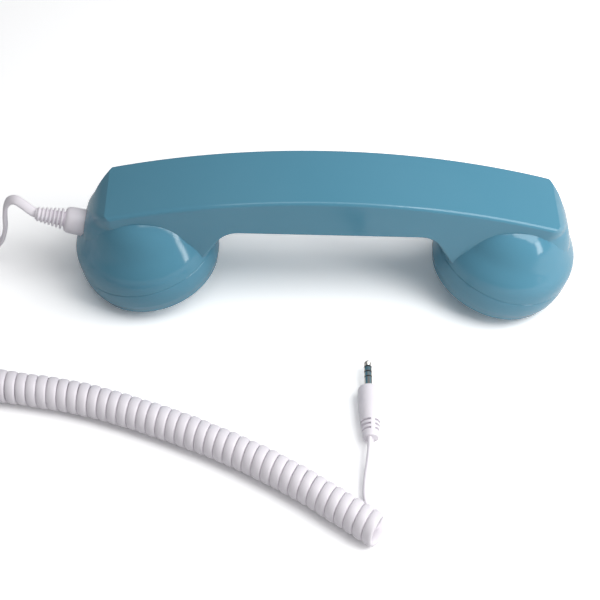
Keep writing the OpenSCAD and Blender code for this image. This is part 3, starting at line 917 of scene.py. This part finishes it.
earCap = makeCap("earCap", seams["ear"], cap["earHole"], cap["earRings"])
fitOut(earCap, "ear_cap", "body_plastic", "bluePlastic", "ear_cap")
mouthCap = makeCap("mouthCap", seams["mouth"], cap["mouthHole"], cap["mouthRings"])
fitOut(mouthCap, "mouth_cap", "body_plastic", "bluePlastic", "mouth_cap")
print("caps ready")


# the rubber boot where the cord leaves the shell
def makeBoot():
    outline = list(boot["collar"])
    for k in range(boot["ribs"]):
        low = boot["firstRib"] + k * boot["ribStep"]
        high = low + boot["ribWide"]
        out = boot["ribRadius"] - k * boot["ribTaper"]
        core = boot["core"] - k * boot["coreTaper"]
        # each rib has a filleted foot and a rounded rim
        outline += [(core, low - 0.25), (core + 0.3, low), (out - 0.25, low + 0.1), (out, low + 0.35)]
        outline += [(out, high - 0.35), (out - 0.25, high - 0.1), (core + 0.3, high), (core, high + 0.25)]
    last = outline[-1][1]
    outline += [(2.3, last + 0.1), (2.2, last + 0.5), (0, last + 0.5)]
    piece = turned("strainRelief", outline, 64, bootPlace)
    smoothSurface(piece, 40)
    return piece


strainRelief = makeBoot()
fitOut(strainRelief, "handset", "white_rubber", "whiteRubber", "strain_relief")
print("strain relief ready")


# the audio plug: housing, sleeve, rings, insulators and tip

plug = {
    "root": (17.5, -65.5, 4.7), "turn": 12,
    "housing": [(0, 0), (3.7, 0), (4.2, -0.15), (4.5, -0.5), (4.62, -1.2), (4.65, -4), (4.6, -8),
                (4.4, -12), (4.1, -16), (3.8, -19.5), (3.5, -22.5), (3.3, -24.2), (3.1, -24.8),
                (2.7, -25), (0, -25)],
    "slots": [-17.6, -19.6, -21.6], "slotWide": 0.9, "slotCore": 2.5, "slotReach": 6, "slotTurn": 2,
    "bridge": (1.7, 20, 4),
    "sleeve": [(0, 0), (2.5, 0), (2.6, 0.1), (2.6, 0.7), (2.5, 0.8), (1.75, 0.85), (1.75, 5.4), (0, 5.4)],
    "rings": [(6, 8), (8.6, 10.6)], "ringEdge": 0.08, "pin": 1.75,
    "insulators": [(5.4, 6), (8, 8.6), (10.6, 11.2)], "insulatorEdge": 0.03,
    "tip": [(0, 11.2), (1.4, 11.2), (1.2, 11.6), (1.15, 11.9), (1.35, 12.35), (1.65, 12.7),
            (1.72, 12.95), (1.62, 13.3), (1.35, 13.8), (0.95, 14.3), (0.6, 14.6), (0.3, 14.76),
            (0, 14.8)],
}
plugPlace = (Matrix.Translation(Vector(plug["root"]) * mm) @ Matrix.Rotation(radians(-90), 4, "X")
             @ Matrix.Rotation(radians(plug["turn"]), 4, "Z"))


def makeHousing():
    piece = turned("plugHousing", plug["housing"], 64, plugPlace)
    for middle in plug["slots"]:
        low, high = middle - plug["slotWide"] / 2, middle + plug["slotWide"] / 2
        core, reach = plug["slotCore"], plug["slotReach"]
        # a small turn keeps the slot's steps off the housing's steps
        aside = plugPlace @ Matrix.Rotation(radians(plug["slotTurn"]), 4, "Z")
        outline = [(core, low), (reach, low), (reach, high), (core, high), (core, low)]
        ring = turned("slot", outline, 46, aside)
        bridge = bar("bridge", plug["bridge"], plugPlace @ Matrix.Translation((0, 0, middle * mm)))
        combine(ring, bridge, "DIFFERENCE")
        combine(piece, ring, "DIFFERENCE")
    smoothSurface(piece)
    return piece


def makeCollars(name, spans, edge):
    parts = []
    pin = plug["pin"]
    for low, high in spans:
        parts.append(turned(name, [(0, low), (pin - edge, low), (pin, low + edge), (pin, high - edge),
                                   (pin - edge, high), (0, high)], 48, plugPlace))
    pickUp(parts[0])
    for part in parts:
        part.select_set(True)
    bpy.ops.object.join()
    joined = bpy.context.object
    smoothSurface(joined)
    joined.name = joined.data.name = name
    return joined


plugHousing = makeHousing()
fitOut(plugHousing, "handset", "white_rubber", "whiteRubber", "plug_housing")
plugSleeve = turned("plugSleeve", plug["sleeve"], 48, plugPlace)
smoothSurface(plugSleeve)
fitOut(plugSleeve, "handset", "bright_metal", "nickel", "plug_sleeve")
plugRings = makeCollars("plugRings", plug["rings"], plug["ringEdge"])
fitOut(plugRings, "handset", "bright_metal", "nickel", "plug_rings")
plugInsulators = makeCollars("plugInsulators", plug["insulators"], plug["insulatorEdge"])
fitOut(plugInsulators, "handset", "dark_plastic", "darkPlastic", "plug_insulators")
plugTip = turned("plugTip", plug["tip"], 48, plugPlace)
smoothSurface(plugTip)
fitOut(plugTip, "handset", "bright_metal", "nickel", "plug_tip")
print("plug ready")


# answer button, its plate and the two screws

button = {
    "length": 14, "width": 7, "proud": 1.2, "edge": 0.5, "flange": 2.4, "stem": 2.4, "play": 0.1,
    "plate": 1.5, "floor": 3, "plateEdge": 0.35, "post": 2.2, "postX": 13.5, "postTop": 9.9,
    "headHole": 2.0, "headDepth": 0.9, "shankHole": 1.1, "postHole": 0.8, "holeTurn": 3.4,
    "head": 1.9, "shank": 0.85, "cross": (2.3, 0.5, 1.2), "crossTurn": 20,
    "clear": 0.02, "flangeDepth": 1.18, "stemTop": 5.5,
    "dish": [(0, -30), (29.7, -7), (30, 0), (29.7, 7), (0, 30)], "dishDrop": 29.65,
}


def edgesAt(level):
    return lambda a, b: abs(a.z - level) < 0.01 and abs(b.z - level) < 0.01


def makePlate():
    low, middle = shell["gripZ"], Matrix.Translation((hatch["x"] * mm, 0, 0))
    high, floorZ = low + button["plate"], low + button["floor"]
    plate = stadium("buttonPlate", hatch["plateLength"], hatch["plateWidth"], low, high, middle)
    bevelEdges(plate, edgesAt(low), button["plateEdge"], 3)
    top = stadium("hatch", hatch["hatchLength"], hatch["hatchWidth"], low + 1, floorZ, middle)
    combine(plate, top, "UNION")
    aside = Matrix.Rotation(radians(button["holeTurn"]), 4, "Z")
    wide, narrow, depth = button["headHole"], button["shankHole"], low + button["headDepth"]
    for end in (-1, 1):
        post = Matrix.Translation(((hatch["x"] + end * button["postX"]) * mm, 0, 0)) @ aside
        screw = Matrix.Translation(((hatch["x"] + end * hatch["screwX"]) * mm, 0, 0)) @ aside
        combine(plate, disc("post", button["post"], floorZ - 1, low + button["postTop"], post, 32), "UNION")
        combine(plate, disc("hole", button["postHole"], floorZ + 2, low + 12, post, 24), "DIFFERENCE")
        # the screw's hole: a flared rim, a seat for the head and a way through for the shank
        punch = turned("punch", [
            (0, low - 1), (wide + 0.4, low - 1), (wide + 0.2, low), (wide, low + 0.2),
            (wide, depth), (narrow, depth), (narrow, floorZ + 1), (0, floorZ + 1),
        ], 38, screw)
        combine(plate, punch, "DIFFERENCE")
    gap = 2 * button["play"]
    slot = stadium("slot", button["length"] + gap, button["width"] + gap, low - 1, floorZ + 1, middle)
    combine(plate, slot, "DIFFERENCE")
    smoothSurface(plate)
    return plate


def makeButton():
    low, middle = shell["gripZ"], Matrix.Translation((hatch["x"] * mm, 0, 0))
    face, floorZ = low - button["proud"], low + button["floor"] + button["clear"]
    key = stadium("answerButton", button["length"], button["width"], face, floorZ + 0.5, middle)
    bevelEdges(key, edgesAt(face), button["edge"], 4)
    # a shallow finger dish along the middle of the key
    dish = turned("dish", button["dish"], 96,
                  Matrix.Translation((hatch["x"] * mm, 0, (face - button["dishDrop"]) * mm))
                  @ Matrix.Rotation(radians(90), 4, "X"))
    combine(key, dish, "DIFFERENCE")
    length, width = button["length"] + button["flange"], button["width"] + button["flange"]
    flange = stadium("flange", length, width, floorZ, floorZ + button["flangeDepth"], middle)
    combine(key, flange, "UNION")
    combine(key, disc("stem", button["stem"], floorZ + 1, low + button["stemTop"], middle, 32), "UNION")
    smoothSurface(key)
    return key


def makeScrews():
    low, head, shank = shell["gripZ"], button["head"], button["shank"]
    made = []
    for end in (-1, 1):
        place = Matrix.Translation(((hatch["x"] + end * hatch["screwX"]) * mm, 0, 0))
        screw = turned("plateScrews", [
            (0, low + 0.1), (head - 0.45, low + 0.12), (head - 0.15, low + 0.3), (head, low + 0.55),
            (head, low + 0.9), (shank, low + 0.9), (shank, low + 2.5), (shank * 0.5, low + 2.9),
            (0, low + 2.9),
        ], 40, place)
        for angle in (0, 90):  # the cross in the head, from two bars
            turn = Matrix.Rotation(radians(angle + button["crossTurn"] * end), 4, "Z")
            cross = bar("cross", button["cross"], place @ Matrix.Translation((0, 0, low * mm)) @ turn)
            combine(screw, cross, "DIFFERENCE")
        smoothSurface(screw)
        made.append(screw)
    pickUp(made[0])
    made[1].select_set(True)
    bpy.ops.object.join()
    return bpy.context.object


buttonPlate = makePlate()
fitOut(buttonPlate, "handset", "body_plastic", "bluePlastic", "button_plate")
answerButton = makeButton()
fitOut(answerButton, "button", "white_button", "whitePlastic", "answer_button")
plateScrews = makeScrews()
fitOut(plateScrews, "handset", "steel", "steelFinish", "plate_screws")
print("answer button ready")


# the inner pieces keep their CAD meshes and get a finish

nodeFinishes = {
    "receiver_case": "darkPlastic", "receiver_magnet": "steelFinish", "receiver_voice_coil": "copperWire",
    "receiver_diaphragm": "clearFilm", "receiver_grid": "steelFinish", "receiver_wires": "redWire",
    "microphone_holder": "darkPlastic", "microphone_boot": "darkRubber",
    "microphone_capsule": "steelFinish", "microphone_wires": "greenWire",
    "balance_weight": "steelFinish", "switch_board": "boardLacquer", "board_screws": "steelFinish",
    "switch_body": "darkPlastic", "switch_plunger": "palePlastic", "cord_tail": "whiteRubber",
    "ear_gasket": "darkRubber", "ear_screen": "screenCloth",
    "mouth_gasket": "darkRubber", "mouth_screen": "screenCloth",
}
for nodeName, finish in nodeFinishes.items():
    node = frame["nodes"][nodeName]
    node.data.materials.clear()
    node.data.materials.append(materials[finish])
print("inner pieces finished")
